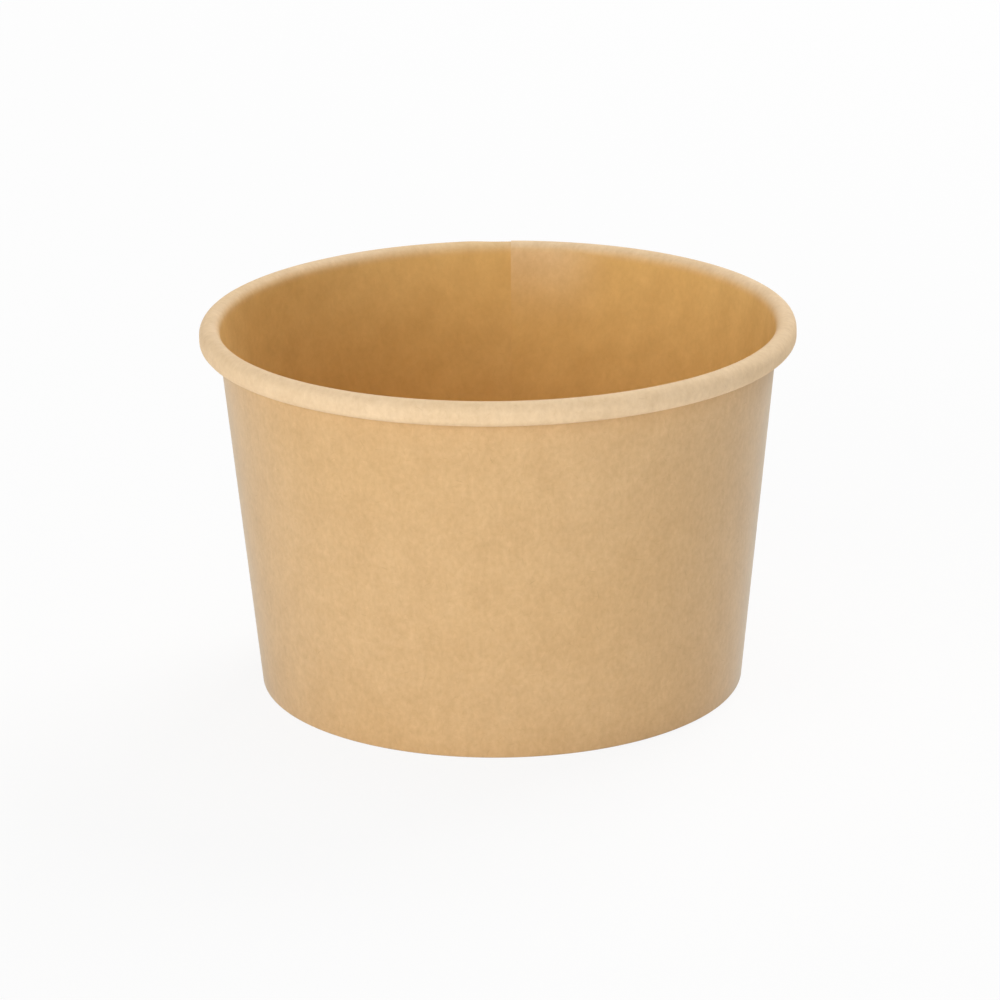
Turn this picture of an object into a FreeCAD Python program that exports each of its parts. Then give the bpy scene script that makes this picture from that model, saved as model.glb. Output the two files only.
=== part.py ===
import FreeCAD, Part
import math
import os
from enum import IntEnum

import Sketcher
from FreeCAD import Placement, Rotation, Vector

# A round paper tub: a lapped, tapered board wall with a rolled rim, folded in around a set-in disc.
# Millimetres, +Z up. The origin is the middle of the circle that the tub stands on, and the open
# mouth points up. The wall's seam is at the back, near +Y.

doc = FreeCAD.newDocument("paper_tub")

# Driving sizes, each written once.
SIZES = {
    "board": 0.4,              # thickness of the paperboard
    "tub_height": 60.7,        # resting plane to the top of the bead
    "mouth_diameter": 89.3,    # clear width inside the bead
    "base_diameter": 78.7,     # outside, at the folded bottom edge
    "curl_hollow": 0.85,       # clear width inside the bead where the board is doubled
    "curl_flank": 0.85,        # straight height of the bead's outer side
    "tail_gap": 0.1,           # doubled wall to the rolled-in tail
    "tail_length": 0.6,        # straight end of the roll, inside the bead
    "fold_radius": 0.06,       # inside radius of the pressed bottom fold
    "film_gap": 0.05,          # lining film on each face of the skirt
    "recess_depth": 6.6,       # resting plane to the underside of the disc
    "hem_gap": 0.6,            # underside of the disc to the folded edge's free end
    "skirt_gap": 0.4,          # doubled fold to the lower end of the skirt
    "disc_bend": 0.3,          # inside radius where the disc turns down
    "lap_width": 8.0,          # overlap of the blank's two ends, at the mouth
    "jog_width": 3.4,          # stretch in which the outer end steps in beside the inner one
    "seam_angle": 87.0,        # place of the inner cut edge, counter-clockwise from +X
}

# Sizes worked out from them, as expressions for the sketches.
CURL_WIDTH = "(6 * Sizes.board + Sizes.tail_gap + Sizes.curl_hollow)"
TOP_RADIUS = f"({CURL_WIDTH} / 2)"
LOW_RADIUS = "(2 * Sizes.board + Sizes.curl_hollow / 2)"
CURL_CENTRE_X = f"(Sizes.mouth_diameter / 2 + {TOP_RADIUS})"
CURL_CENTRE_Z = f"(Sizes.tub_height - {TOP_RADIUS})"
FOLD_CENTRE_X = "(Sizes.base_diameter / 2 - Sizes.board - Sizes.fold_radius)"
FOLD_CENTRE_Z = "(Sizes.board + Sizes.fold_radius)"
CHANNEL = "(Sizes.board + 2 * Sizes.film_gap)"
HEM_TOP = "(Sizes.recess_depth - Sizes.hem_gap)"
SKIRT_END = "(2 * Sizes.board + Sizes.skirt_gap)"
DISC_TOP = "(Sizes.recess_depth + Sizes.board)"
DISC_ROUND = "(Sizes.disc_bend + Sizes.board)"
LAP_TURN = "(Sizes.lap_width / Sizes.mouth_diameter * 360 / pi)"
JOG_TURN = "(Sizes.jog_width / Sizes.mouth_diameter * 360 / pi)"


class Point(IntEnum):
    """The numbers by which a sketch knows the points of its items."""

    START = 1
    END = 2
    CENTRE = 3


def size_sheet():
    """The spreadsheet with one aliased cell per driving size."""
    sheet = doc.addObject("Spreadsheet::Sheet", "Sizes")
    for row, (alias, value) in enumerate(SIZES.items(), start=1):
        sheet.set(f"A{row}", alias)
        sheet.set(f"B{row}", str(value))
        sheet.setAlias(f"B{row}", alias)
    doc.recompute()
    return sheet


sheet = size_sheet()


def size(expression):
    """What an expression of the driving sizes comes to."""
    return float(sheet.evalExpression(expression))


class LineSketch:
    """A sketch of the board's visible face, drawn in the plane of radius (X) and height (Z)."""

    ORIGIN = -1
    AXIS = -2

    def __init__(self, name):
        self.sketch = doc.addObject("Sketcher::SketchObject", name)
        self.sketch.Placement = Placement(Vector(0, 0, 0), Rotation(Vector(1, 0, 0), 90))

    def line(self, start, end, helper=False):
        return self.sketch.addGeometry(Part.LineSegment(Vector(*start, 0), Vector(*end, 0)), helper)

    def circle(self, centre, radius):
        return self.sketch.addGeometry(Part.Circle(Vector(*centre, 0), Vector(0, 0, 1), radius), True)

    def arc(self, centre, radius, first, last):
        """An arc that runs counter-clockwise from the angle first to the angle last, in degrees."""
        circle = Part.Circle(Vector(*centre, 0), Vector(0, 0, 1), radius)
        turn = Part.ArcOfCircle(circle, math.radians(first), math.radians(last))
        return self.sketch.addGeometry(turn, False)

    def tie(self, *terms):
        return self.sketch.addConstraint(Sketcher.Constraint(*terms))

    def bind(self, expression, *terms):
        """A dimension that follows an expression of the driving sizes."""
        index = self.tie(*terms, size(expression))
        self.sketch.setExpression(f"Constraints[{index}]", expression)

    def raise_to(self, item, point, z_expression):
        self.bind(z_expression, "DistanceY", self.ORIGIN, Point.START, item, point)

    def centre_at(self, item, x_expression, z_expression):
        self.bind(x_expression, "DistanceX", self.ORIGIN, Point.START, item, Point.CENTRE)
        self.raise_to(item, Point.CENTRE, z_expression)

    def stand_off(self, item, point, wall, gap, near):
        """Holds a point of an item off the wall's line, square to it and on the cup's side."""
        spacer = self.line((near[0] + size(gap), near[1]), near, helper=True)
        self.tie("PointOnObject", spacer, Point.START, wall)
        self.tie("Coincident", spacer, Point.END, item, point)
        self.tie("Angle", wall, spacer, math.radians(90))
        self.bind(gap, "Distance", spacer)

    def fold_guide(self):
        """The bottom fold of the single board, which fixes the foot of the wall's line."""
        radius = size("Sizes.fold_radius")
        guide = self.circle((size(FOLD_CENTRE_X), size(FOLD_CENTRE_Z)), radius)
        self.bind("Sizes.fold_radius", "Radius", guide)
        self.centre_at(guide, FOLD_CENTRE_X, FOLD_CENTRE_Z)
        return guide


def wall_radius(height):
    """The radius of the wall's inner face at a height, near enough to start a sketch from."""
    foot_radius = size(FOLD_CENTRE_X) + size("Sizes.fold_radius")
    top_radius = size("Sizes.mouth_diameter") / 2
    share = (height - size(FOLD_CENTRE_Z)) / (size(CURL_CENTRE_Z) - size(FOLD_CENTRE_Z))
    return foot_radius + (top_radius - foot_radius) * share


def wall_line(name, fold_level):
    """The wall's inner face: folded edge, pressed fold, tapered wall, and the rim rolled outward."""
    plan = LineSketch(name)
    bend = size("Sizes.fold_radius")
    land_z = size(fold_level)
    fold_z = land_z + bend
    outer_x = wall_radius(fold_z)
    inner_x = outer_x - size(CHANNEL)
    hem_top = (wall_radius(size(HEM_TOP)) - size(CHANNEL), size(HEM_TOP))
    curl_x, curl_z = size(CURL_CENTRE_X), size(CURL_CENTRE_Z)
    high, low = size(TOP_RADIUS), size(LOW_RADIUS)
    flank_x, flank_z = curl_x + high, curl_z - size("Sizes.curl_flank")
    tail_x = flank_x - 2 * low

    hem = plan.line(hem_top, (inner_x, fold_z))
    inner_fold = plan.arc((inner_x + bend, fold_z), bend, 180, 270)
    land = plan.line((inner_x + bend, land_z), (outer_x - bend, land_z))
    outer_fold = plan.arc((outer_x - bend, fold_z), bend, 270, 360)
    wall = plan.line((outer_x, fold_z), (curl_x - high, curl_z))
    curl_top = plan.arc((curl_x, curl_z), high, 0, 180)
    flank = plan.line((flank_x, curl_z), (flank_x, flank_z))
    curl_low = plan.arc((flank_x - low, flank_z), low, 180, 360)
    tail = plan.line((tail_x, flank_z), (tail_x, flank_z + size("Sizes.tail_length")))

    guide = plan.fold_guide()
    plan.tie("Tangent", wall, guide)
    plan.bind(TOP_RADIUS, "Radius", curl_top)
    plan.centre_at(curl_top, CURL_CENTRE_X, CURL_CENTRE_Z)
    plan.tie("Tangent", wall, Point.END, curl_top, Point.END)

    plan.tie("Tangent", curl_top, Point.START, flank, Point.START)
    plan.tie("Vertical", flank)
    plan.bind("Sizes.curl_flank", "DistanceY", flank, Point.END, flank, Point.START)
    plan.tie("Tangent", flank, Point.END, curl_low, Point.END)
    plan.bind(LOW_RADIUS, "Radius", curl_low)
    plan.tie("Tangent", curl_low, Point.START, tail, Point.START)
    plan.tie("Vertical", tail)
    plan.bind("Sizes.tail_length", "DistanceY", tail, Point.START, tail, Point.END)

    plan.tie("Tangent", outer_fold, Point.END, wall, Point.START)
    plan.bind("Sizes.fold_radius", "Radius", outer_fold)
    plan.tie("Tangent", land, Point.END, outer_fold, Point.START)
    plan.tie("Horizontal", land)
    plan.raise_to(land, Point.START, fold_level)
    plan.tie("Tangent", inner_fold, Point.END, land, Point.START)
    plan.bind("Sizes.fold_radius", "Radius", inner_fold)
    plan.tie("Tangent", hem, Point.END, inner_fold, Point.START)
    plan.tie("Parallel", hem, wall)
    plan.stand_off(hem, Point.START, wall, CHANNEL, hem_top)
    plan.raise_to(hem, Point.START, HEM_TOP)
    return plan.sketch


def disc_line(name):
    """The disc's upper face, the turn at its edge, and its skirt beside the wall's inner face."""
    plan = LineSketch(name)
    film = size("Sizes.film_gap")
    round_over = size(DISC_ROUND)
    top_z, skirt_z = size(DISC_TOP), size(SKIRT_END)
    bend_z = top_z - round_over
    bend_x = wall_radius(bend_z) - film
    skirt_end = (wall_radius(skirt_z) - film, skirt_z)
    fold_z, curl_z = size(FOLD_CENTRE_Z), size(CURL_CENTRE_Z)

    top = plan.line((0.0, top_z), (bend_x - round_over, top_z))
    bend = plan.arc((bend_x - round_over, bend_z), round_over, 0, 90)
    skirt = plan.line((bend_x, bend_z), skirt_end)
    wall = plan.line((wall_radius(fold_z), fold_z), (wall_radius(curl_z), curl_z), helper=True)

    guide = plan.fold_guide()
    curl = plan.circle((size(CURL_CENTRE_X), curl_z), size(TOP_RADIUS))
    plan.bind(TOP_RADIUS, "Radius", curl)
    plan.centre_at(curl, CURL_CENTRE_X, CURL_CENTRE_Z)
    plan.tie("Tangent", wall, guide)
    plan.tie("Tangent", wall, curl)
    plan.raise_to(wall, Point.START, FOLD_CENTRE_Z)
    plan.raise_to(wall, Point.END, CURL_CENTRE_Z)

    plan.tie("PointOnObject", top, Point.START, plan.AXIS)
    plan.tie("Horizontal", top)
    plan.raise_to(top, Point.START, DISC_TOP)
    plan.tie("Tangent", top, Point.END, bend, Point.END)
    plan.bind(DISC_ROUND, "Radius", bend)
    plan.tie("Tangent", bend, Point.START, skirt, Point.START)
    plan.tie("Parallel", skirt, wall)
    plan.stand_off(skirt, Point.END, wall, "Sizes.film_gap", skirt_end)
    plan.raise_to(skirt, Point.END, SKIRT_END)
    return plan.sketch


def offset(name, source, value, fill=True):
    """The band of board between a line and its copy to one side, or that copy alone."""
    band = doc.addObject("Part::Offset2D", name)
    band.Source = source
    band.Mode = "Skin"
    band.Fill = fill
    band.setExpression("Value", value)
    return band


def turned(name, band, turn):
    """A band of board swept about the tub's axis through an angle in degrees."""
    sector = doc.addObject("Part::Revolution", name)
    sector.Source = band
    sector.Base = Vector(0, 0, 0)
    sector.Axis = Vector(0, 0, 1)
    sector.setExpression("Angle", turn)
    return sector


def side_wall():
    """The wall's blank. Its inner end is cut at angle 0 of its own frame, and the outer end laps it.

    The board is doubled over the lap, clockwise of that cut. Counter-clockwise of it the outer end
    steps in by one board, and from there on a single board goes round to the lap.
    """
    single_line = wall_line("single_line", "Sizes.board")
    double_line = wall_line("double_line", "2 * Sizes.board")

    single_band = offset("single_band", single_line, "-Sizes.board")
    single_band.setExpression("Placement.Rotation.Angle", JOG_TURN)
    single = turned("single", single_band, f"360 - {LAP_TURN} - {JOG_TURN}")

    inner_band = offset("inner_band", double_line, "-Sizes.board")
    inner_lap = turned("inner_lap", inner_band, f"-{LAP_TURN}")
    outer_line = offset("outer_line", double_line, "-Sizes.board", fill=False)
    outer_band = offset("outer_band", outer_line, "-Sizes.board")
    outer_lap = turned("outer_lap", outer_band, f"-{LAP_TURN}")

    jog = doc.addObject("Part::Loft", "jog")
    jog.Sections = [outer_band, single_band]
    jog.Solid = True
    jog.Ruled = True

    wall = doc.addObject("Part::MultiFuse", "side_wall")
    wall.Shapes = [single, jog, inner_lap, outer_lap]
    wall.Refine = True
    wall.setExpression("Placement.Rotation.Angle", "Sizes.seam_angle")
    return wall


def base_disc():
    """The disc set in above the fold, its edge turned down into the skirt that the fold holds."""
    band = offset("disc_band", disc_line("disc_line"), "-Sizes.board")
    return turned("base_disc", band, "360")


def check(pieces):
    for item in doc.Objects:
        if "Invalid" in item.State or "Error" in item.State:
            raise RuntimeError(f"{item.Name} failed: {item.State}")
    for piece in pieces:
        shape = piece.Shape
        if shape.isNull() or not shape.isValid() or len(shape.Solids) != 1:
            raise RuntimeError(f"{piece.Label} isn't one valid solid")
        box = shape.optimalBoundingBox()
        print(f"{piece.Label}: {shape.Volume:.1f} mm3, {shape.Area:.0f} mm2, "
              f"x {box.XMin:.2f} to {box.XMax:.2f}, z {box.ZMin:.3f} to {box.ZMax:.3f}")


pieces = [side_wall(), base_disc()]
doc.recompute()
check(pieces)

os.makedirs("parts", exist_ok=True)
for piece in pieces:
    piece.Shape.exportStep(f"parts/{piece.Label}.step")
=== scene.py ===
# %% [markdown]
# # A kraft paper tub, rolled from flat board
#
# A small food tub is two pieces of paperboard. A fan-shaped blank is wrapped into a cone, sealed
# where its ends lap, rolled outward at the top and folded inward at the foot. A disc with a
# turned-down edge is caught in that fold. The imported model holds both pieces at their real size,
# so it is loaded first as a fixed frame, and everything below is laid over it.

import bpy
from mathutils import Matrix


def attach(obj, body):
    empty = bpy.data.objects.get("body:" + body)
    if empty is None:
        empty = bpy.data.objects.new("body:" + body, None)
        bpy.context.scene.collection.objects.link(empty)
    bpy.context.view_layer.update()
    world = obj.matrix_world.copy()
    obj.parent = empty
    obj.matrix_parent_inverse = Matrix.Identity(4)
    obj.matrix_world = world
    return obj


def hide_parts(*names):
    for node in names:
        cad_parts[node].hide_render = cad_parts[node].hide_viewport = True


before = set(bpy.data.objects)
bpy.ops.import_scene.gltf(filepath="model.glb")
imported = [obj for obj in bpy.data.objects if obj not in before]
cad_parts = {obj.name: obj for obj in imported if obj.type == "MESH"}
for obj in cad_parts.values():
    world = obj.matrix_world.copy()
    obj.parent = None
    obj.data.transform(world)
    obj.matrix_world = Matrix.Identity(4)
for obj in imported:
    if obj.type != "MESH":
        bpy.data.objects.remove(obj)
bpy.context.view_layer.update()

# %% Modules and the unit
import math

import bpy
from mathutils import Matrix, Vector

MM = 0.001

# %% [markdown]
# ## The sizes of the board and of its roll
#
# Board has one thickness everywhere, and each bend has a radius that the board allows. So a few
# sizes fix the whole section: the mouth, the foot, the height, the bead and the depth of the disc.
# They are the sizes of the imported model.

# %% Sizes of the tub
BOARD = 0.40 * MM
TUB_HEIGHT = 60.7 * MM
MOUTH_RADIUS = 89.3 / 2 * MM
FOOT_RADIUS = 78.7 / 2 * MM
FILM_GAP = 0.05 * MM
GLUE_LINE = 0.015 * MM
FOLD_BEND = 0.06 * MM
CHANNEL = BOARD + 2 * FILM_GAP
RECESS_DEPTH = 6.6 * MM
HEM_TOP = RECESS_DEPTH - 0.6 * MM

CURL_HOLLOW = 0.85 * MM
CURL_FLANK = 0.85 * MM
TAIL_LENGTH = 0.6 * MM
TAIL_GAP = 0.1 * MM
CURL_HIGH = (6 * BOARD + TAIL_GAP + CURL_HOLLOW) / 2
CURL_LOW = 2 * BOARD + CURL_HOLLOW / 2

# %% [markdown]
# ## The line that the blank follows
#
# Cut the tub down its side and the board shows as one line: up inside the foot, round a tight
# fold, up the tapered wall, over the rim and round into a small roll. It could be drawn by hand as
# a curve, but arcs and straight lines that touch smoothly are what the folding tools leave. The
# wall is the straight line that touches both the fold's arc and the bead's arc, so its taper
# comes out of those two.

# %% The wall's taper
fold_centre = Vector((FOOT_RADIUS - BOARD - FOLD_BEND, BOARD + FOLD_BEND))
curl_centre = Vector((MOUTH_RADIUS + CURL_HIGH, TUB_HEIGHT - CURL_HIGH))
reach = curl_centre - fold_centre
taper = math.atan2(reach.x, reach.y) - math.asin((FOLD_BEND + CURL_HIGH) / reach.length)
up_wall = Vector((math.sin(taper), math.cos(taper)))
off_wall = Vector((math.cos(taper), -math.sin(taper)))
print("taper of the wall in degrees:", round(math.degrees(taper), 2))


# %% Arcs and straight stretches as points
def arc(centre, radius, first, last, steps):
    """Points round a centre, from one angle to another in degrees, without the first point."""
    turns = [math.radians(first + (last - first) * step / steps) for step in range(1, steps + 1)]
    return [centre + radius * Vector((math.cos(turn), math.sin(turn))) for turn in turns]


def straight(start, end, steps):
    """Points from start to end, without the first point."""
    return [start.lerp(end, step / steps) for step in range(1, steps + 1)]


# %% The blank's line at a fold level
HEM_STEPS = 4
FOLD_STEPS = 4
LAND_STEPS = 1
WALL_STEPS = 30
RIM_STEPS = 16
FLANK_STEPS = 2
ROLL_STEPS = 12
TAIL_STEPS = 2


def blank_line(fold_level):
    """Radius and height of the blank's cup side. The foot's land lies at the fold level."""
    tilt = math.degrees(taper)
    outer_bend = fold_centre + up_wall * ((fold_level - BOARD) / up_wall.y)
    inner_bend = outer_bend - Vector(((CHANNEL - 2 * FOLD_BEND) / off_wall.x, 0))
    hem_end = inner_bend - off_wall * FOLD_BEND
    hem_start = hem_end + up_wall * ((HEM_TOP - hem_end.y) / up_wall.y)
    flank_top = curl_centre + Vector((CURL_HIGH, 0))
    flank_end = flank_top - Vector((0, CURL_FLANK))
    roll_centre = flank_end - Vector((CURL_LOW, 0))
    tail_start = roll_centre - Vector((CURL_LOW, 0))
    points = [hem_start]
    points += straight(hem_start, hem_end, HEM_STEPS)
    points += arc(inner_bend, FOLD_BEND, 180 - tilt, 270, FOLD_STEPS)
    points += straight(points[-1], outer_bend - Vector((0, FOLD_BEND)), LAND_STEPS)
    points += arc(outer_bend, FOLD_BEND, 270, 360 - tilt, FOLD_STEPS)
    points += straight(points[-1], curl_centre - off_wall * CURL_HIGH, WALL_STEPS)
    points += arc(curl_centre, CURL_HIGH, 180 - tilt, 0, RIM_STEPS)
    points += straight(flank_top, flank_end, FLANK_STEPS)
    points += arc(roll_centre, CURL_LOW, 0, -180, ROLL_STEPS)
    points += straight(tail_start, tail_start + Vector((0, TAIL_LENGTH)), TAIL_STEPS)
    return points


# %% A line becomes a curve object
def line_object(name, points):
    """A poly curve in the plane of X, the radius, and Z, the height."""
    curve = bpy.data.curves.new(name, "CURVE")
    curve.dimensions = "3D"
    spline = curve.splines.new("POLY")
    spline.points.add(len(points) - 1)
    for knot, point in zip(spline.points, points):
        knot.co = (point.x, 0.0, point.y, 1.0)
    line = bpy.data.objects.new(name, curve)
    bpy.context.scene.collection.objects.link(line)
    return line


blank = line_object("blank_line", blank_line(BOARD))
lifted_blank = line_object("lifted_blank_line", blank_line(2 * BOARD + GLUE_LINE))
ROWS = len(blank.data.splines[0].points)
WALL_TOP = HEM_STEPS + FOLD_STEPS + LAND_STEPS + FOLD_STEPS + WALL_STEPS
knots = [point.co.xyz for point in blank.data.splines[0].points]
BEND_RUN = sum((end - start).length for start, end in zip(knots[:WALL_TOP], knots[1:]))
print("points on the blank's line:", ROWS, "length up to the rim's bend in mm:", round(BEND_RUN / MM, 2))


# %% [markdown]
# ## Small helpers for node trees
#
# Every tree below, for shapes or for finishes, is made of the same three acts: add a node, set its
# fields and join its sockets. Two short helpers keep each tree readable as a list of steps.

# %% Node helpers
def add(tree, kind, sockets=None, **fields):
    """A node with its fields set and its sockets filled or linked."""
    node = tree.nodes.new(kind)
    for field, value in fields.items():
        setattr(node, field, value)
    for key, value in (sockets or {}).items():
        if isinstance(value, bpy.types.NodeSocket):
            tree.links.new(value, node.inputs[key])
        else:
            node.inputs[key].default_value = value
    return node


def calc(tree, operation, *values):
    """The output of a Math node with these values or sockets."""
    return add(tree, "ShaderNodeMath", dict(enumerate(values)), operation=operation).outputs[0]


def sockets(tree, direction, *items):
    """Named sockets on a group: each item is a name, a socket type and a default or None."""
    for name, kind, default in items:
        socket = tree.interface.new_socket(name, in_out=direction, socket_type=kind)
        if default is not None:
            socket.default_value = default


# %% [markdown]
# ## One rule places every point of the board
#
# The wall could be spun and its seam modelled by hand, but the blank follows a simple rule, so a
# Geometry Nodes group writes the rule down once. A point has a row along the blank's line, a turn
# round the tub counted from the inner cut edge, and a depth into the board. The turn moves it
# round; near the end of the wrap the outer end steps out by one board and lies on the inner end;
# and under the lap the fold sits one board higher, so that the foot stays flat. The lap is pressed
# thinner above the foot, and the rim is knocked in a little here and there, as on a real tub. The
# group also gives the point's place on the flat blank, which the paper's pattern will follow, and
# how far it lies past the start of the rim's roll and from the blank's inner cut edge.

# %% Seam and rim sizes
SEAM_TURN = math.radians(87.0)
LAP_TURN = 8.0 * MM / MOUTH_RADIUS
JOG_TURN = 7.0 * MM / MOUTH_RADIUS
EASE_TURN = math.radians(1.5)
SQUEEZE_RISE = 10 * MM
LAP_SQUEEZE = 0.65
RIM_DENT = 0.08 * MM
DENT_PATCH = 14 * MM
DENT_FROM = 0.45
DENT_SPREAD = 0.3
FULL_TURN = 2 * math.pi
BACK_FACE_SHIFT = 9 * MM


# %% Sampling the blank's line
def sample_line(tree, line_input, row):
    """Place, direction and run of the line's point at a row."""
    geometry = add(tree, "GeometryNodeObjectInfo", {"Object": line_input}).outputs["Geometry"]
    fields = {
        "place": (add(tree, "GeometryNodeInputPosition").outputs[0], "FLOAT_VECTOR"),
        "along": (add(tree, "GeometryNodeInputTangent").outputs[0], "FLOAT_VECTOR"),
        "run": (add(tree, "GeometryNodeSplineParameter").outputs["Length"], "FLOAT"),
    }
    found = {}
    for name, (field, kind) in fields.items():
        sampler = add(tree, "GeometryNodeSampleIndex", {"Geometry": geometry, "Value": field, "Index": row},
                      data_type=kind, domain="POINT")
        found[name] = sampler.outputs["Value"]
    return found


# %% The rule as a group
def ramp(tree, value, start, width):
    """A smooth step from 0 to 1 that begins at start."""
    end = calc(tree, "ADD", start, width)
    step = add(tree, "ShaderNodeMapRange", {"Value": value, "From Min": start, "From Max": end},
               interpolation_type="SMOOTHSTEP")
    return step.outputs["Result"]


def blend(tree, share, first, second):
    """first at a share of 0 and second at 1."""
    mix = add(tree, "ShaderNodeMix", data_type="VECTOR")
    tree.links.new(share, mix.inputs["Factor"])
    tree.links.new(first, mix.inputs[4])
    tree.links.new(second, mix.inputs[5])
    return mix.outputs[1]


def board_point_group():
    """Row, turn and depth in; place, flat place and the ways past the bend and from the cut out."""
    tree = bpy.data.node_groups.new("board_point", "GeometryNodeTree")
    sockets(tree, "INPUT",
            ("Line", "NodeSocketObject", None), ("Lifted Line", "NodeSocketObject", None),
            ("Row", "NodeSocketInt", 0), ("Turn", "NodeSocketFloat", 0.0), ("Depth", "NodeSocketFloat", 0.0),
            ("Seam", "NodeSocketFloat", SEAM_TURN), ("Lap", "NodeSocketFloat", LAP_TURN),
            ("Jog", "NodeSocketFloat", JOG_TURN), ("Board", "NodeSocketFloat", BOARD),
            ("Squeeze", "NodeSocketFloat", LAP_SQUEEZE), ("Dent", "NodeSocketFloat", RIM_DENT),
            ("Seed", "NodeSocketFloat", 0.0))
    sockets(tree, "OUTPUT",
            ("Place", "NodeSocketVector", None), ("Flat Place", "NodeSocketVector", None),
            ("Past Bend", "NodeSocketFloat", None), ("From Cut", "NodeSocketFloat", None))
    given = add(tree, "NodeGroupInput").outputs

    plain = sample_line(tree, given["Line"], given["Row"])
    lifted = sample_line(tree, given["Lifted Line"], given["Row"])

    jog_start = calc(tree, "SUBTRACT", FULL_TURN, given["Jog"])
    outer_end = ramp(tree, given["Turn"], jog_start, given["Jog"])
    past_lap = ramp(tree, given["Turn"], given["Lap"], EASE_TURN)
    inner_end = calc(tree, "SUBTRACT", 1.0, past_lap)
    lift = calc(tree, "MAXIMUM", outer_end, inner_end)

    place = add(tree, "ShaderNodeSeparateXYZ", {0: blend(tree, lift, plain["place"], lifted["place"])})
    along_mix = blend(tree, lift, plain["along"], lifted["along"])
    along_unit = add(tree, "ShaderNodeVectorMath", {0: along_mix}, operation="NORMALIZE").outputs[0]
    along = add(tree, "ShaderNodeSeparateXYZ", {0: along_unit})

    past_bend = calc(tree, "SUBTRACT", plain["run"], BEND_RUN)
    rolled = ramp(tree, past_bend, 0.0, CURL_HIGH)
    above_foot = ramp(tree, place.outputs["Z"], RECESS_DEPTH + 2 * MM, SQUEEZE_RISE)
    pressed = calc(tree, "MULTIPLY", calc(tree, "ADD", rolled, above_foot), lift)
    pressed = calc(tree, "MULTIPLY", pressed, calc(tree, "MULTIPLY", given["Squeeze"], 0.5))
    board = calc(tree, "MULTIPLY", given["Board"], calc(tree, "SUBTRACT", 1.0, pressed))
    step_out = calc(tree, "MULTIPLY", outer_end, calc(tree, "ADD", board, GLUE_LINE))
    push = calc(tree, "MULTIPLY_ADD", given["Depth"], board, step_out)
    radius = calc(tree, "MULTIPLY_ADD", along.outputs["Z"], push, place.outputs["X"])
    height = calc(tree, "MULTIPLY_ADD", calc(tree, "MULTIPLY", along.outputs["X"], -1.0), push,
                  place.outputs["Z"])

    angle = calc(tree, "SUBTRACT", given["Seam"], given["Turn"])
    east, north = calc(tree, "COSINE", angle), calc(tree, "SINE", angle)
    patch = add(tree, "ShaderNodeCombineXYZ", {"X": calc(tree, "MULTIPLY", east, MOUTH_RADIUS),
                                              "Y": calc(tree, "MULTIPLY", north, MOUTH_RADIUS),
                                              "Z": height})
    noise = add(tree, "ShaderNodeTexNoise", {"Vector": patch.outputs[0], "W": given["Seed"],
                                             "Scale": 1 / DENT_PATCH, "Detail": 2.0},
                noise_dimensions="4D").outputs[0]
    knocked = ramp(tree, noise, DENT_FROM, DENT_SPREAD)
    near_rim = ramp(tree, past_bend, -3 * CURL_HIGH, 3 * CURL_HIGH)
    dent = calc(tree, "MULTIPLY", calc(tree, "MULTIPLY", knocked, near_rim), given["Dent"])
    dented = calc(tree, "SUBTRACT", radius, dent)
    place_out = add(tree, "ShaderNodeCombineXYZ", {"X": calc(tree, "MULTIPLY", east, dented),
                                                  "Y": calc(tree, "MULTIPLY", north, dented), "Z": height})

    cone_reach = FOOT_RADIUS / math.sin(taper)
    fan_radius = calc(tree, "ADD", plain["run"], cone_reach - HEM_TOP)
    fan_turn = calc(tree, "MULTIPLY", calc(tree, "SUBTRACT", given["Turn"], math.pi), math.sin(taper))
    flat_x = calc(tree, "MULTIPLY", fan_radius, calc(tree, "SINE", fan_turn))
    flat_y = calc(tree, "MULTIPLY_ADD", fan_radius, calc(tree, "COSINE", fan_turn), -cone_reach)
    face_shift = calc(tree, "MULTIPLY", given["Depth"], BACK_FACE_SHIFT)
    flat_place = add(tree, "ShaderNodeCombineXYZ", {"X": flat_x, "Y": flat_y, "Z": face_shift})
    add(tree, "NodeGroupOutput", {"Place": place_out.outputs[0], "Flat Place": flat_place.outputs[0],
                                  "Past Bend": past_bend,
                                  "From Cut": calc(tree, "MULTIPLY", given["Turn"], MOUTH_RADIUS)})
    return tree


board_point = board_point_group()
print("nodes in the rule:", len(board_point.nodes))

# %% [markdown]
# ## The wall: a grid that follows the rule
#
# A sheet with thickness could be a surface with a Solidify modifier, but that guesses the
# thickness at sharp folds. Here a grid runs up the cup side of the blank and back down its outer
# side, so it is a flat tube, and two narrow strips close its ends at the cut edges. All three use
# the rule above, then their doubles are merged, which leaves one closed skin. The cut edges get a
# material of their own.

# %% Rows and turns of the long grid
WRAP_TURN = FULL_TURN + LAP_TURN
COLUMNS = 433
MERGE_REACH = 0.0005 * MM
SHARP_FOLD = math.radians(50)


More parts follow.
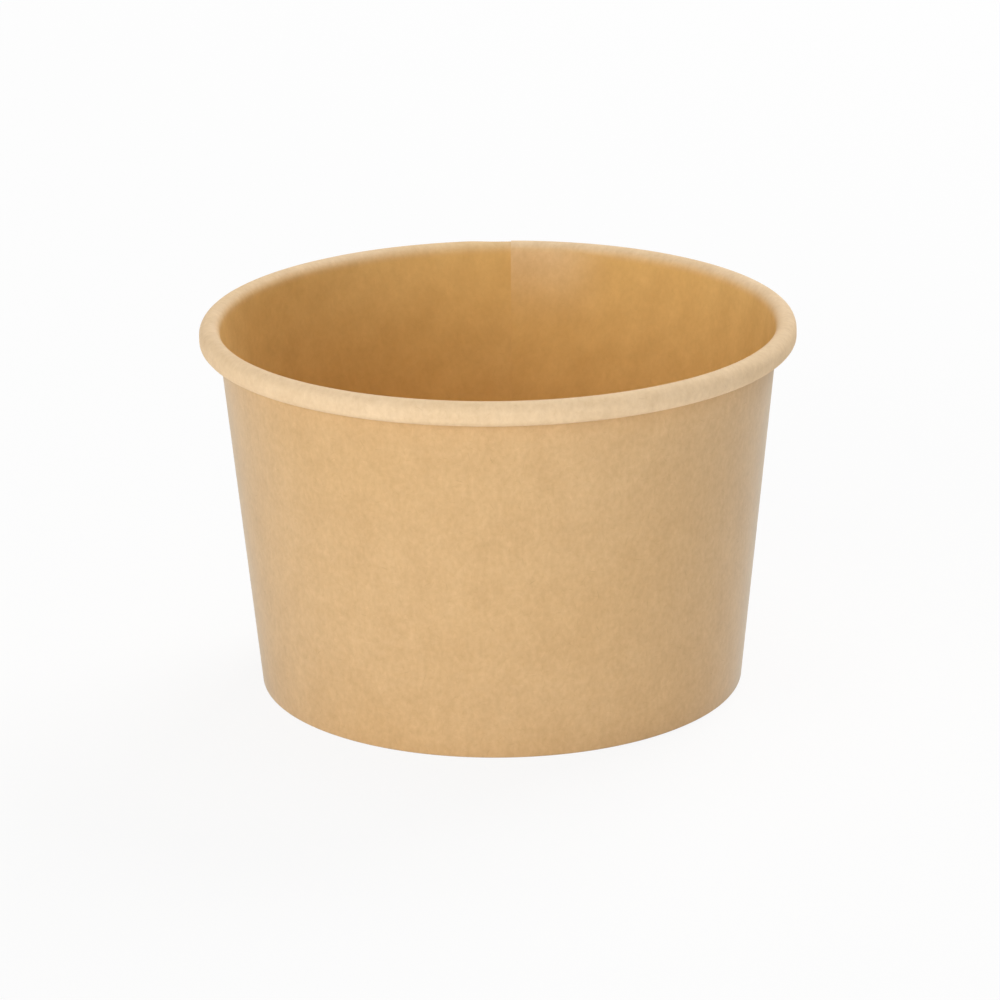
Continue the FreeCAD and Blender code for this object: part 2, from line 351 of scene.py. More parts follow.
def rolled_faces(tree, given, use_rule):
    """The blank's two broad faces and its free top and bottom edges, as one tube of rows."""
    around = calc(tree, "MULTIPLY_ADD", given["Rows"], 2.0, 1.0)
    grid = add(tree, "GeometryNodeMeshGrid", {"Vertices X": given["Columns"], "Vertices Y": around})
    index = add(tree, "GeometryNodeInputIndex").outputs[0]
    column = calc(tree, "FLOOR", calc(tree, "DIVIDE", index, around))
    step = calc(tree, "MODULO", calc(tree, "SUBTRACT", index, calc(tree, "MULTIPLY", column, around)),
                calc(tree, "MULTIPLY", given["Rows"], 2.0))
    half_way = calc(tree, "SUBTRACT", given["Rows"], 0.5)
    row = calc(tree, "SUBTRACT", half_way,
               calc(tree, "ABSOLUTE", calc(tree, "SUBTRACT", step, half_way)))
    depth = calc(tree, "GREATER_THAN", step, half_way)
    share = calc(tree, "DIVIDE", column, calc(tree, "SUBTRACT", given["Columns"], 1.0))
    turn = calc(tree, "MULTIPLY", share, given["Wrap"])
    return use_rule(grid.outputs["Mesh"], row, turn, depth)


# %% The strips at the two cut ends
def end_strip(tree, given, use_rule, turn):
    """A strip one board wide that closes the blank where it was cut."""
    grid = add(tree, "GeometryNodeMeshGrid", {"Vertices X": 2, "Vertices Y": given["Rows"]})
    index = add(tree, "GeometryNodeInputIndex").outputs[0]
    depth = calc(tree, "FLOOR", calc(tree, "DIVIDE", index, given["Rows"]))
    row = calc(tree, "SUBTRACT", index, calc(tree, "MULTIPLY", depth, given["Rows"]))
    return use_rule(grid.outputs["Mesh"], row, turn, depth)


# %% The wall's tree
def rolled_wall_tree():
    """Inputs for the blank's lines, its wrap and its materials; out comes one closed skin."""
    tree = bpy.data.node_groups.new("rolled_wall", "GeometryNodeTree")
    sockets(tree, "INPUT",
            ("Line", "NodeSocketObject", None), ("Lifted Line", "NodeSocketObject", None),
            ("Rows", "NodeSocketInt", ROWS), ("Columns", "NodeSocketInt", COLUMNS),
            ("Wrap", "NodeSocketFloat", WRAP_TURN), ("Seam", "NodeSocketFloat", SEAM_TURN),
            ("Lap", "NodeSocketFloat", LAP_TURN), ("Jog", "NodeSocketFloat", JOG_TURN),
            ("Board", "NodeSocketFloat", BOARD), ("Squeeze", "NodeSocketFloat", LAP_SQUEEZE),
            ("Dent", "NodeSocketFloat", RIM_DENT), ("Seed", "NodeSocketFloat", 4.0),
            ("Cup Side", "NodeSocketMaterial", None), ("Outside", "NodeSocketMaterial", None),
            ("Cut Edge", "NodeSocketMaterial", None))
    sockets(tree, "OUTPUT", ("Geometry", "NodeSocketGeometry", None))
    given = add(tree, "NodeGroupInput").outputs

    def use_rule(mesh, row, turn, depth):
        """Moves a grid's points by the rule and keeps what the rule says of each point."""
        rule = add(tree, "GeometryNodeGroup", node_tree=board_point)
        shared = ("Line", "Lifted Line", "Seam", "Lap", "Jog", "Board", "Squeeze", "Dent", "Seed")
        for name in shared:
            tree.links.new(given[name], rule.inputs[name])
        for name, value in (("Row", row), ("Turn", turn), ("Depth", depth)):
            if isinstance(value, bpy.types.NodeSocket):
                tree.links.new(value, rule.inputs[name])
            else:
                rule.inputs[name].default_value = value
        for name, kind, value in (("depth", "FLOAT", depth),
                                  ("flat_place", "FLOAT_VECTOR", rule.outputs["Flat Place"]),
                                  ("past_bend", "FLOAT", rule.outputs["Past Bend"]),
                                  ("from_cut", "FLOAT", rule.outputs["From Cut"])):
            mesh = add(tree, "GeometryNodeStoreNamedAttribute",
                       {"Geometry": mesh, "Name": name, "Value": value}, data_type=kind).outputs[0]
        return add(tree, "GeometryNodeSetPosition",
                   {"Geometry": mesh, "Position": rule.outputs["Place"]}).outputs[0]

    faces = rolled_faces(tree, given, use_rule)
    first_cut = end_strip(tree, given, use_rule, 0.0)
    last_cut = end_strip(tree, given, use_rule, given["Wrap"])
    flipped = add(tree, "GeometryNodeFlipFaces", {"Mesh": last_cut})
    skin = add(tree, "GeometryNodeJoinGeometry")
    for part in (faces, first_cut, flipped.outputs[0]):
        tree.links.new(part, skin.inputs[0])
    merged = add(tree, "GeometryNodeMergeByDistance", {"Geometry": skin.outputs[0], "Distance": MERGE_REACH})
    smooth = add(tree, "GeometryNodeSetShadeSmooth", {"Geometry": merged.outputs[0]})
    real = add(tree, "GeometryNodeRealizeInstances", {"Geometry": smooth.outputs[0]})

    depth = add(tree, "GeometryNodeInputNamedAttribute", {"Name": "depth"}, data_type="FLOAT").outputs[0]
    cut = add(tree, "GeometryNodeSetMaterial", {"Geometry": real.outputs[0], "Material": given["Cut Edge"]})
    cup = add(tree, "GeometryNodeSetMaterial",
              {"Geometry": cut.outputs[0], "Selection": calc(tree, "LESS_THAN", depth, 0.25),
               "Material": given["Cup Side"]})
    outside = add(tree, "GeometryNodeSetMaterial",
                  {"Geometry": cup.outputs[0], "Selection": calc(tree, "GREATER_THAN", depth, 0.75),
                   "Material": given["Outside"]})
    add(tree, "NodeGroupOutput", {"Geometry": outside.outputs[0]})
    return tree


rolled_wall = rolled_wall_tree()
print("nodes in the wall's tree:", len(rolled_wall.nodes))


# %% [markdown]
# ## Kraft board
#
# Kraft paper is brown because its fibres keep the wood's colour. Close to, it isn't one brown: the
# pulp lies in soft clouds and small flocks, many fibres show as short dark or pale strokes, and the
# surface has a fine tooth that takes away its gloss. A photograph could carry all that, but it would
# have one scale only. Here each effect is a node group with its sizes in metres, so that the
# outside, the lined inside, the cut edges and the base share them, and stay sharp from near by.

# %% Clouds in the pulp
CLOUD_PATCH = 5.0 * MM
CLOUD_GRAIN = 0.8 * MM
WEB_STRETCH = 0.75
SEED_STEP = (0.217, 0.139, 0.0)


def moved(tree, vector, seed):
    """The pattern's place on a sheet, moved by a seed so that each finish has its own part of it."""
    step = add(tree, "ShaderNodeVectorMath", {0: SEED_STEP, "Scale": seed}, operation="SCALE").outputs[0]
    return add(tree, "ShaderNodeVectorMath", {0: step, 1: vector}, operation="ADD").outputs[0]


def cloud(tree, vector, size, detail):
    """Soft noise of one patch size, from -1 to 1."""
    noise = add(tree, "ShaderNodeTexNoise",
                {"Vector": vector, "Scale": calc(tree, "DIVIDE", 1.0, size), "Detail": detail,
                 "Roughness": 0.6}, noise_dimensions="2D")
    return calc(tree, "MULTIPLY_ADD", noise.outputs[0], 2.0, -1.0)


def pulp_clouds_group():
    """Patches of denser and thinner pulp, from the whole sheet down to its grain."""
    tree = bpy.data.node_groups.new("pulp_clouds", "ShaderNodeTree")
    sockets(tree, "INPUT",
            ("Vector", "NodeSocketVector", None), ("Patch", "NodeSocketFloat", CLOUD_PATCH),
            ("Grain", "NodeSocketFloat", CLOUD_GRAIN), ("Seed", "NodeSocketFloat", 0.0))
    sockets(tree, "OUTPUT", ("Sheet", "NodeSocketFloat", None), ("Clouds", "NodeSocketFloat", None),
            ("Flocks", "NodeSocketFloat", None), ("Tooth", "NodeSocketFloat", None))
    given = add(tree, "NodeGroupInput").outputs
    place = moved(tree, given["Vector"], given["Seed"])
    along_web = add(tree, "ShaderNodeVectorMath", {0: place, 1: (1.0, WEB_STRETCH, 1.0)},
                    operation="MULTIPLY").outputs[0]
    sheet_patch = calc(tree, "MULTIPLY", given["Patch"], 7.0)
    flock_patch = calc(tree, "MULTIPLY", given["Grain"], 2.4)
    add(tree, "NodeGroupOutput", {"Sheet": cloud(tree, place, sheet_patch, 1.0),
                                  "Clouds": cloud(tree, along_web, given["Patch"], 3.0),
                                  "Flocks": cloud(tree, moved(tree, place, 3.0), flock_patch, 1.0),
                                  "Tooth": cloud(tree, along_web, given["Grain"], 2.0)})
    return tree


pulp_clouds = pulp_clouds_group()
print("cloud sizes in mm:", CLOUD_PATCH / MM, CLOUD_GRAIN / MM)

# %% Fibres as short strokes
FIBRE_SWAY = 0.5 * MM
SWAY_PATCH = 1.6 * MM


def fibre_strokes_group():
    """One bent stroke in each cell of a scatter, at an angle of its own, as a mask from 0 to 1."""
    tree = bpy.data.node_groups.new("fibre_strokes", "ShaderNodeTree")
    sockets(tree, "INPUT",
            ("Vector", "NodeSocketVector", None), ("Spacing", "NodeSocketFloat", 2 * MM),
            ("Length", "NodeSocketFloat", 1.5 * MM), ("Width", "NodeSocketFloat", 0.08 * MM),
            ("Share", "NodeSocketFloat", 0.6), ("Seed", "NodeSocketFloat", 0.0))
    sockets(tree, "OUTPUT", ("Strokes", "NodeSocketFloat", None))
    given = add(tree, "NodeGroupInput").outputs

    place = moved(tree, given["Vector"], given["Seed"])
    bend = add(tree, "ShaderNodeTexNoise", {"Vector": place, "Scale": 1 / SWAY_PATCH, "Detail": 0.0},
               noise_dimensions="2D")
    centred = add(tree, "ShaderNodeVectorMath", {0: bend.outputs["Color"], 1: (0.5, 0.5, 0.5)},
                  operation="SUBTRACT").outputs[0]
    swayed = add(tree, "ShaderNodeVectorMath", {0: centred, 1: (FIBRE_SWAY, FIBRE_SWAY, 0.0), 2: place},
                 operation="MULTIPLY_ADD").outputs[0]
    scatter = add(tree, "ShaderNodeTexVoronoi",
                  {"Vector": swayed, "Scale": calc(tree, "DIVIDE", 1.0, given["Spacing"])},
                  voronoi_dimensions="2D").outputs
    chance = add(tree, "ShaderNodeSeparateColor", {0: scatter["Color"]}).outputs

    offset = add(tree, "ShaderNodeVectorMath", {0: swayed, 1: scatter["Position"]},
                 operation="SUBTRACT").outputs[0]
    lie = add(tree, "ShaderNodeVectorRotate",
              {"Vector": offset, "Angle": calc(tree, "MULTIPLY", chance[0], math.pi)},
              rotation_type="Z_AXIS").outputs[0]
    parts = add(tree, "ShaderNodeSeparateXYZ", {0: lie}).outputs
    along = calc(tree, "DIVIDE", parts[0], calc(tree, "MULTIPLY", given["Length"], 0.5))
    across = calc(tree, "DIVIDE", parts[1], calc(tree, "MULTIPLY", given["Width"], 0.5))
    reach = calc(tree, "MULTIPLY_ADD", along, along, calc(tree, "MULTIPLY", across, across))
    body = add(tree, "ShaderNodeMapRange", {"Value": reach, "From Min": 1.5, "From Max": 0.2},
               interpolation_type="SMOOTHSTEP").outputs["Result"]
    kept = calc(tree, "LESS_THAN", chance[1], given["Share"])
    strength = calc(tree, "MULTIPLY_ADD", chance[2], 0.7, 0.3)
    strokes = calc(tree, "MULTIPLY", calc(tree, "MULTIPLY", body, kept), strength)
    add(tree, "NodeGroupOutput", {"Strokes": strokes})
    return tree


fibre_strokes = fibre_strokes_group()
print("nodes for the fibres:", len(fibre_strokes.nodes))


# %% Kraft paper from clouds and fibres
def tint(tree, colour, factor, gain):
    """Multiplies a colour by 1 + factor * gain, channel by channel."""
    scaled = add(tree, "ShaderNodeVectorMath", {0: gain, "Scale": factor}, operation="SCALE").outputs[0]
    raised = add(tree, "ShaderNodeVectorMath", {0: scaled, 1: (1.0, 1.0, 1.0)}, operation="ADD").outputs[0]
    return add(tree, "ShaderNodeVectorMath", {0: colour, 1: raised}, operation="MULTIPLY").outputs[0]


def placed(tree, group, values):
    """A node group with its inputs filled or linked."""
    return add(tree, "ShaderNodeGroup", values, node_tree=group).outputs


def kraft_paper_group():
    """A brown and the strength of its clouds and fibres in; its colour and relief out."""
    tree = bpy.data.node_groups.new("kraft_paper", "ShaderNodeTree")
    sockets(tree, "INPUT",
            ("Vector", "NodeSocketVector", None), ("Brown", "NodeSocketColor", (0.72, 0.47, 0.24, 1.0)),
            ("Clouding", "NodeSocketFloat", 1.0), ("Mottle", "NodeSocketFloat", 1.0),
            ("Fibres", "NodeSocketFloat", 1.0), ("Patch", "NodeSocketFloat", CLOUD_PATCH),
            ("Seed", "NodeSocketFloat", 0.0))
    sockets(tree, "OUTPUT", ("Colour", "NodeSocketColor", None), ("Relief", "NodeSocketFloat", None))
    given = add(tree, "NodeGroupInput").outputs
    pulp = placed(tree, pulp_clouds,
                  {"Vector": given["Vector"], "Patch": given["Patch"], "Seed": given["Seed"]})
    colour = given["Brown"]
    for patches, amount, gain in (("Sheet", "Clouding", (0.03, 0.05, 0.10)),
                                  ("Clouds", "Clouding", (0.055, 0.07, 0.095)),
                                  ("Flocks", "Mottle", (0.045, 0.048, 0.05)),
                                  ("Tooth", "Mottle", (0.085, 0.115, 0.17))):
        colour = tint(tree, colour, calc(tree, "MULTIPLY", pulp[patches], given[amount]), gain)
    relief = calc(tree, "MULTIPLY", pulp["Tooth"], 0.5)
    for spacing, length, width, share, gain, lift in (
            (1.0 * MM, 0.9 * MM, 0.09 * MM, 0.9, (-0.07, -0.10, -0.14), 0.0),
            (1.3 * MM, 1.2 * MM, 0.09 * MM, 0.8, (0.06, 0.08, 0.11), 0.6),
            (4.1 * MM, 1.3 * MM, 0.10 * MM, 0.5, (-0.14, -0.18, -0.22), 0.0)):
        strokes = placed(tree, fibre_strokes,
                         {"Vector": given["Vector"], "Spacing": spacing, "Length": length, "Width": width,
                          "Share": share, "Seed": calc(tree, "ADD", given["Seed"], spacing / MM)})["Strokes"]
        colour = tint(tree, colour, calc(tree, "MULTIPLY", strokes, given["Fibres"]), gain)
        if lift:
            relief = calc(tree, "MULTIPLY_ADD", strokes, lift, relief)
    add(tree, "NodeGroupOutput", {"Colour": colour, "Relief": relief})
    return tree


kraft_paper = kraft_paper_group()
print("nodes in the paper:", len(kraft_paper.nodes))

# %% [markdown]
# ## Four finishes from one paper
#
# The outside is bare paper, with two thin dark lines at the seam: painted shade on the inner end
# beside the step where the outer end of the blank stops, and a darker edge along the outer end's cut.
# The inside is the same paper under a clear film, so it is a little deeper in colour. Where the board
# is rolled over the rim it is stretched by about six percent, and the film turns pale there, with
# finer clouds, fading out just below the bend and beside the pressed seam. This pale colour is partly
# the film's whitening and partly a painted highlight: the light that the rolled rim and the strip by
# the seam catch.
# The cut edges show the fibres end on. Each finish is a material of its own, because only the paper
# in it is shared.

# %% Finish sizes
PALE_START = -0.7 * MM
PALE_WIDTH = 2.4 * MM
SEAL_WIDTH = 12 * MM
SEAL_DEPTH = 15 * MM
OUTER_END_WIDTH = 30 * MM
RIM_CLOUDING = 1.3
RIM_MOTTLE = 0.85
TOOTH_DEPTH = 0.02 * MM
FUZZ_ROUGHNESS = 0.45
# The sheen is the fibres' fuzz, but its cool tint is painted light: it stands in for the cool studio light
# seen at the wall's grazing edges.
FUZZ_TINT_FOR_COOL_LIGHT = (0.72, 0.9, 1.0, 1.0)


# %% Where the film turns pale, with a painted highlight
def film_whitening_and_highlight_group():
    """A mask of the rolled rim, weaker towards the outer end, and of the strip that the seal pressed, where
    the pale colour is partly film whitening and partly painted highlight.
    """
    tree = bpy.data.node_groups.new("film_whitening_and_highlight", "ShaderNodeTree")
    sockets(tree, "INPUT", ("Past Bend", "NodeSocketFloat", 0.0), ("From Cut", "NodeSocketFloat", 0.0),
            ("Sealed", "NodeSocketFloat", 0.7), ("Outer End", "NodeSocketFloat", 0.4))
    sockets(tree, "OUTPUT", ("Pale", "NodeSocketFloat", None))
    given = add(tree, "NodeGroupInput").outputs

    def step(value, first, last):
        return add(tree, "ShaderNodeMapRange", {"Value": value, "From Min": first, "From Max": last},
                   interpolation_type="SMOOTHSTEP").outputs["Result"]

    # The pale rim is partly the film's whitening and partly a painted highlight on the rolled crown.
    rolled = step(given["Past Bend"], PALE_START, PALE_START + PALE_WIDTH)
    full_way = FULL_TURN * MOUTH_RADIUS
    to_outer_end = step(given["From Cut"], full_way - OUTER_END_WIDTH, full_way)
    held = calc(tree, "MULTIPLY", calc(tree, "MULTIPLY", to_outer_end, given["Outer End"]), -1.0)
    rolled = calc(tree, "MULTIPLY", rolled, calc(tree, "ADD", held, 1.0))
    by_seam = step(given["From Cut"], 1.6 * SEAL_WIDTH, 0.6 * SEAL_WIDTH)
    near_rim = step(given["Past Bend"], -SEAL_DEPTH, 0.5 * SEAL_DEPTH)
    pressed = calc(tree, "MULTIPLY", calc(tree, "MULTIPLY", by_seam, near_rim), given["Sealed"])
    add(tree, "NodeGroupOutput", {"Pale": calc(tree, "MAXIMUM", rolled, pressed)})
    return tree


film_whitening_and_highlight = film_whitening_and_highlight_group()
print("pale from", round(PALE_START / MM, 2), "to", round((PALE_START + PALE_WIDTH) / MM, 2),
      "mm past the bend")

# %% Painted shade and a darker edge where one end of the blank stops on the other
SEAM_SHADE_WIDTH = 0.3 * MM
SEAM_SHADE_AND_EDGE_DARKENING = (-0.13, -0.18, -0.22)
OUTER_SEAM_SHADES = (LAP_TURN * MOUTH_RADIUS, WRAP_TURN * MOUTH_RADIUS)


def seam_shade_line_group():
    """A mask of a narrow line at a distance from the blank's inner cut edge, where shade and a darker cut
    edge are painted.
    """
    tree = bpy.data.node_groups.new("seam_shade_line", "ShaderNodeTree")
    sockets(tree, "INPUT", ("From Cut", "NodeSocketFloat", 0.0), ("Place", "NodeSocketFloat", 0.0),
            ("Width", "NodeSocketFloat", SEAM_SHADE_WIDTH))
    sockets(tree, "OUTPUT", ("Line", "NodeSocketFloat", None))
    given = add(tree, "NodeGroupInput").outputs
    away = calc(tree, "ABSOLUTE", calc(tree, "SUBTRACT", given["From Cut"], given["Place"]))
    line = add(tree, "ShaderNodeMapRange", {"Value": away, "From Min": given["Width"], "From Max": 0.0},
               interpolation_type="SMOOTHSTEP").outputs["Result"]
    add(tree, "NodeGroupOutput", {"Line": line})
    return tree


seam_shade_line = seam_shade_line_group()
print("seam lines from the cut edge in mm:", [round(place / MM, 2) for place in OUTER_SEAM_SHADES])


# %% A board finish
def board_finish(name, brown, roughness, sheen, seed, clouding=1.3, mottle=1.0, fibres=1.0, pale=None,
                 gloss=0.5, seam_shades=()):
    """Paper that follows its flat place, with seam lines of painted shade and a darker cut edge, and the
    pale colour past the rim's bend, partly a painted highlight.
    """
    material = bpy.data.materials.new(name)
    material.use_nodes = True
    tree = material.node_tree
    tree.nodes.clear()
    flat_place = add(tree, "ShaderNodeAttribute", attribute_name="flat_place").outputs["Vector"]
    from_cut = add(tree, "ShaderNodeAttribute", attribute_name="from_cut").outputs["Fac"]
    base_colour = brown
    # Past the bend the colour turns pale: partly film whitening, partly a painted highlight.
    if pale:
        past_bend = add(tree, "ShaderNodeAttribute", attribute_name="past_bend").outputs["Fac"]
        whitening_and_highlight = placed(tree, film_whitening_and_highlight, {"Past Bend": past_bend, "From Cut": from_cut})["Pale"]
        mix = add(tree, "ShaderNodeMix", {"Factor": whitening_and_highlight, 6: brown, 7: pale}, data_type="RGBA")
        base_colour = mix.outputs[2]
        clouding = calc(tree, "MULTIPLY_ADD", whitening_and_highlight, RIM_CLOUDING - clouding, clouding)
        mottle = calc(tree, "MULTIPLY_ADD", whitening_and_highlight, RIM_MOTTLE - mottle, mottle)
    paper = placed(tree, kraft_paper, {"Vector": flat_place, "Brown": base_colour, "Clouding": clouding,
                                       "Mottle": mottle, "Fibres": fibres, "Seed": seed})
    colour = paper["Colour"]
    # Thin dark lines: painted shade beside the seam's step, and a darker cut edge on the outer end.
    for place in seam_shades:
        line = placed(tree, seam_shade_line, {"From Cut": from_cut, "Place": place})["Line"]
        colour = tint(tree, colour, line, SEAM_SHADE_AND_EDGE_DARKENING)
    bump = add(tree, "ShaderNodeBump",
               {"Strength": 0.5, "Distance": TOOTH_DEPTH, "Height": paper["Relief"]})
    surface = add(tree, "ShaderNodeBsdfPrincipled",
                  {"Base Color": colour, "Roughness": roughness, "Normal": bump.outputs[0],
                   "Specular IOR Level": gloss, "Sheen Weight": sheen, "Sheen Roughness": FUZZ_ROUGHNESS,
                   "Sheen Tint": FUZZ_TINT_FOR_COOL_LIGHT})
    add(tree, "ShaderNodeOutputMaterial", {"Surface": surface.outputs[0]})
    return material


# The outside's seam lines are painted shade beside the step and a darker cut edge.
outside_kraft = board_finish("kraft_outside", (0.685, 0.440, 0.207, 1.0), 0.85, 0.4, 1.0,
                             seam_shades=OUTER_SEAM_SHADES)
# The lined rim's pale colour is partly film whitening and partly a painted highlight.
lined_kraft = board_finish("kraft_lined", (0.752, 0.473, 0.162, 1.0), 0.75, 0.0, 2.0, clouding=2.0,
                           mottle=0.5, fibres=0.6, pale=(0.835, 0.612, 0.375, 1.0), gloss=0.3)
cut_kraft = board_finish("kraft_cut_edge", (0.50, 0.32, 0.15, 1.0), 0.95, 0.3, 3.0)
base_kraft = board_finish("kraft_base", (0.75, 0.478, 0.175, 1.0), 0.75, 0.1, 4.0, clouding=2.0,
                          mottle=0.6, fibres=0.7, gloss=0.3)
print("finishes:", [board.name for board in (outside_kraft, lined_kraft, cut_kraft, base_kraft)])

# %% [markdown]
# ## Roll the wall
#
# The tree runs once on an empty mesh. Its result is copied out as a plain mesh, so nothing live is
# left on the piece, and its folds are marked sharp by their angle.


# %% Evaluate a tree into a plain mesh
def made_by(tree, name, values):
    """A plain mesh object from a Geometry Nodes tree and the values of its named inputs."""
    holder = bpy.data.objects.new(name + "_holder", bpy.data.meshes.new(name + "_holder"))
    bpy.context.scene.collection.objects.link(holder)
    modifier = holder.modifiers.new(name, "NODES")
    modifier.node_group = tree
    names = {item.name: item.identifier for item in tree.interface.items_tree
             if item.item_type == "SOCKET" and item.in_out == "INPUT"}
    for key, value in values.items():
        modifier[names[key]] = value
    evaluated = holder.evaluated_get(bpy.context.evaluated_depsgraph_get())
    mesh = bpy.data.meshes.new_from_object(evaluated)
    mesh.name = name
    bpy.data.objects.remove(holder)
    for index in reversed(range(len(mesh.materials))):
        if mesh.materials[index] is None:
            mesh.materials.pop(index=index)
    piece = bpy.data.objects.new(name, mesh)
    bpy.context.scene.collection.objects.link(piece)
    return piece


wall = made_by(rolled_wall, "rolled_side_wall",
               {"Line": blank, "Lifted Line": lifted_blank, "Cup Side": lined_kraft,
                "Outside": outside_kraft, "Cut Edge": cut_kraft})
wall.data.set_sharp_from_angle(angle=SHARP_FOLD)
bpy.data.objects.remove(blank)
bpy.data.objects.remove(lifted_blank)
print("wall faces:", len(wall.data.polygons), "materials:", [board.name for board in wall.data.materials])
print("wall box:", [round(value, 4) for value in wall.dimensions])

# %% [markdown]
# ## The base disc
#
# The disc is cut round and its edge is pressed down into a short skirt. It is round all the way, so
# its section is drawn once and spun. The section is a closed line, so the spin gives a closed
# shell whose normals are set right once its doubles are merged.

# %% Sizes of the disc
import bmesh

DISC_TOP = RECESS_DEPTH + BOARD
SKIRT_END = HEM_TOP - 4.8 * MM
DISC_ROUND = 0.3 * MM + BOARD
DISC_COLUMNS = 256



# %% The disc's section
def disc_section():
    """The closed line of the disc's board, from the axis out over the top and back below."""
    tilt = math.degrees(taper)
    fold_side = fold_centre + off_wall * (FOLD_BEND - FILM_GAP)
    centre_z = DISC_TOP - DISC_ROUND
    near_wall = fold_side + up_wall * ((centre_z - fold_side.y) / up_wall.y)
    centre = Vector((near_wall.x - DISC_ROUND / off_wall.x, centre_z))
    skirt_foot = fold_side + up_wall * ((SKIRT_END - fold_side.y) / up_wall.y)
    points = [Vector((0, DISC_TOP))]
    points += straight(points[-1], Vector((centre.x, DISC_TOP)), 12)
    points += arc(centre, DISC_ROUND, 90, -tilt, 8)
    points += straight(points[-1], skirt_foot, 4)
    points += [skirt_foot - off_wall * BOARD]
    inner_end = centre + off_wall * (DISC_ROUND - BOARD)
    points += straight(points[-1], inner_end, 4)
    points += arc(centre, DISC_ROUND - BOARD, -tilt, 90, 6)
    points += straight(points[-1], Vector((0, DISC_TOP - BOARD)), 12)
    return points


def spun(name, section, columns):
    """A closed shell from a section that starts and ends on the axis."""
    shell = bmesh.new()
    knots = [shell.verts.new((point.x, 0.0, point.y)) for point in section]
    edges = [shell.edges.new(pair) for pair in zip(knots, knots[1:])]
    bmesh.ops.spin(shell, geom=knots + edges, cent=(0, 0, 0), axis=(0, 0, 1), angle=FULL_TURN,
                   steps=columns, use_duplicate=False)
    bmesh.ops.remove_doubles(shell, verts=shell.verts, dist=MERGE_REACH)
    bmesh.ops.recalc_face_normals(shell, faces=shell.faces)
    mesh = bpy.data.meshes.new(name)
    shell.to_mesh(mesh)
    shell.free()
    flat = mesh.attributes.new("flat_place", "FLOAT_VECTOR", "POINT")
    for vertex, place in zip(mesh.vertices, flat.data):
        across = vertex.co.to_2d().length
        drop = max(0.0, DISC_TOP - vertex.co.z)
        place.vector = (vertex.co * ((across + drop) / max(across, MERGE_REACH))).to_2d().to_3d()
    mesh.shade_smooth()
    mesh.set_sharp_from_angle(angle=SHARP_FOLD)
    piece = bpy.data.objects.new(name, mesh)
    bpy.context.scene.collection.objects.link(piece)
    return piece


disc = spun("base_disc_board", disc_section(), DISC_COLUMNS)
disc.data.materials.append(base_kraft)
print("disc faces:", len(disc.data.polygons), "box:", [round(value, 4) for value in disc.dimensions])

# %% [markdown]
# ## Tie the pieces to the imported model
#
# The shapes above only look like the tub. The imported model holds its weight and its solids, so each
# piece rides on its body and takes the place of the solid that it dresses, and the board it is made of
# is printed. One loop says the same three things of both pieces.

# %% Ride and replace
for piece, node, slot in ((wall, "side_wall", "wall_board"), (disc, "base_disc", "base_board")):
    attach(piece, "root")
    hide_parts(node)
    print(piece.name, "replaces", node, "in", slot)

# %% [markdown]
# ## A white floor that keeps the shadow
#
# The tub stands on a white sheet with no edge in sight. A floor that renders white by its lamps
# alone would need so much light that the board burns out too. So most of its white is a glow that
# only the camera and reflections see, and the rest is plain paint that still takes a shadow.

# %% Floor
FLOOR_GLOW = 0.88
FLOOR_REACH = 6.0
WHITE = (1.0, 1.0, 1.0, 1.0)
FLOOR_PAINT = (0.92, 0.92, 0.92, 1.0)


def seen_directly(tree):
    """1 for the camera's own rays and for those of reflections and clear stuff, else 0."""
    path = add(tree, "ShaderNodeLightPath").outputs
    mirrored = calc(tree, "MAXIMUM", path["Is Glossy Ray"], path["Is Transmission Ray"])
    return calc(tree, "MAXIMUM", path["Is Camera Ray"], mirrored)


corners = [(x * FLOOR_REACH, y * FLOOR_REACH, 0.0) for x, y in ((-1, -1), (1, -1), (1, 1), (-1, 1))]
floor_mesh = bpy.data.meshes.new("floor")
floor_mesh.from_pydata(corners, [], [(0, 1, 2, 3)])
floor = bpy.data.objects.new("floor", floor_mesh)
bpy.context.scene.collection.objects.link(floor)

floor_white = bpy.data.materials.new("floor_white")
floor_white.use_nodes = True
tree = floor_white.node_tree
tree.nodes.clear()
paint = add(tree, "ShaderNodeBsdfDiffuse", {"Color": FLOOR_PAINT}).outputs[0]
glow = add(tree, "ShaderNodeEmission", {"Color": WHITE, "Strength": 1.0}).outputs[0]
share = calc(tree, "MULTIPLY", seen_directly(tree), FLOOR_GLOW)
sheet = add(tree, "ShaderNodeMixShader", {0: share, 1: paint, 2: glow}).outputs[0]
add(tree, "ShaderNodeOutputMaterial", {"Surface": sheet})
floor_mesh.materials.append(floor_white)
print("floor width in m:", floor.dimensions.x, "share of glow:", FLOOR_GLOW)

# %% [markdown]
# ## The room
#
# A studio's walls give back a weak light from everywhere. The world does the same at a low level,
# and it is plain white where the camera or a reflection sees it, so that the background is white.

# %% World
ROOM_LEVEL = 0.3
world = bpy.data.worlds.new("studio")
bpy.context.scene.world = world
world.use_nodes = True
tree = world.node_tree
tree.nodes.clear()
level = add(tree, "ShaderNodeMapRange",
            {"Value": seen_directly(tree), "To Min": ROOM_LEVEL, "To Max": 1.0}).outputs["Result"]
room = add(tree, "ShaderNodeBackground", {"Color": WHITE, "Strength": level}).outputs[0]
add(tree, "ShaderNodeOutputWorld", {"Surface": room})
print("room level:", ROOM_LEVEL)

# %% [markdown]
# ## Four soft lamps
#
# Large square lamps give the soft light of a product photograph. One stands in front, one to the
# left, one behind on the right, which also lights the inside, and one above. Lamps can be set by
# eye, but here the tub was rendered with one lamp at a time and those pictures were weighed against
# the look that was wanted. That gives all four powers at once.

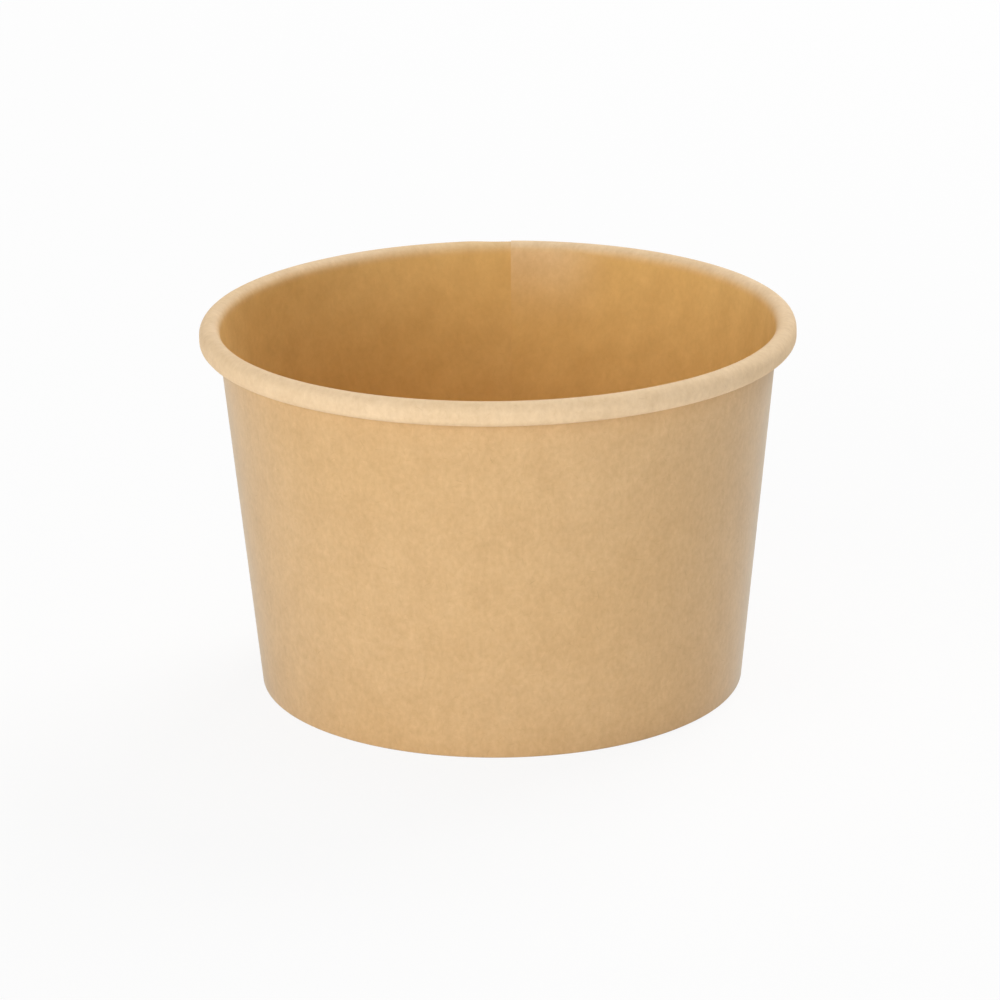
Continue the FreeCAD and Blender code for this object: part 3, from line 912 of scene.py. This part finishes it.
# %% Lamps
LAMP_SIZE = 1.2
LAMP_TARGET = Vector((0.0, 0.0, 0.03))


def soft_box(name, place, power):
    """A square lamp that looks at the middle of the tub."""
    lamp = bpy.data.lights.new(name, "AREA")
    lamp.shape = "SQUARE"
    lamp.size = LAMP_SIZE
    lamp.energy = power
    box = bpy.data.objects.new(name, lamp)
    bpy.context.scene.collection.objects.link(box)
    box.location = place
    box.rotation_euler = (LAMP_TARGET - Vector(place)).to_track_quat("-Z", "Y").to_euler()
    print(name, "power in W:", power)


soft_box("front_light", (-0.407, -1.914, 0.416), 17.5)
soft_box("left_light", (-1.499, -1.257, 0.416), 11.0)
soft_box("back_light", (0.879, 1.255, 1.286), 21.0)
soft_box("top_light", (0.0, 0.278, 1.981), 7.0)

# %% [markdown]
# ## The camera
#
# The tub is seen from a little above through a long lens. The distance, the lift and the lens were
# fitted to the tub's outline. A camera can be aimed by a constraint, but its three axes are written
# here as numbers, because they also hold the slight roll that the fit found.

# %% Camera
VIEW_DISTANCE = 0.74966
VIEW_LIFT = math.radians(18.744)
VIEW_TARGET_HEIGHT = 0.025
VIEW_RIGHT = Vector((0.999922, -0.003915, -0.011841))
VIEW_UP = Vector((0.012471, 0.315777, 0.948752))
VIEW_FORWARD = Vector((-0.000025, 0.948825, -0.315801))
LENS_LENGTH = 165.4
SENSOR_WIDTH = 36.0
camera_data = bpy.data.cameras.new("camera")
camera_data.lens = LENS_LENGTH
camera_data.sensor_width = SENSOR_WIDTH
camera = bpy.data.objects.new("camera", camera_data)
bpy.context.scene.collection.objects.link(camera)
aim = Matrix((VIEW_RIGHT, VIEW_UP, -VIEW_FORWARD)).transposed().to_4x4()
stand = (0.0, -VIEW_DISTANCE * math.cos(VIEW_LIFT),
         VIEW_DISTANCE * math.sin(VIEW_LIFT) + VIEW_TARGET_HEIGHT)
camera.matrix_world = Matrix.Translation(stand) @ aim
bpy.context.scene.camera = camera
bpy.context.scene.view_settings.view_transform = "Standard"
print("camera stands at:", [round(value, 3) for value in stand])
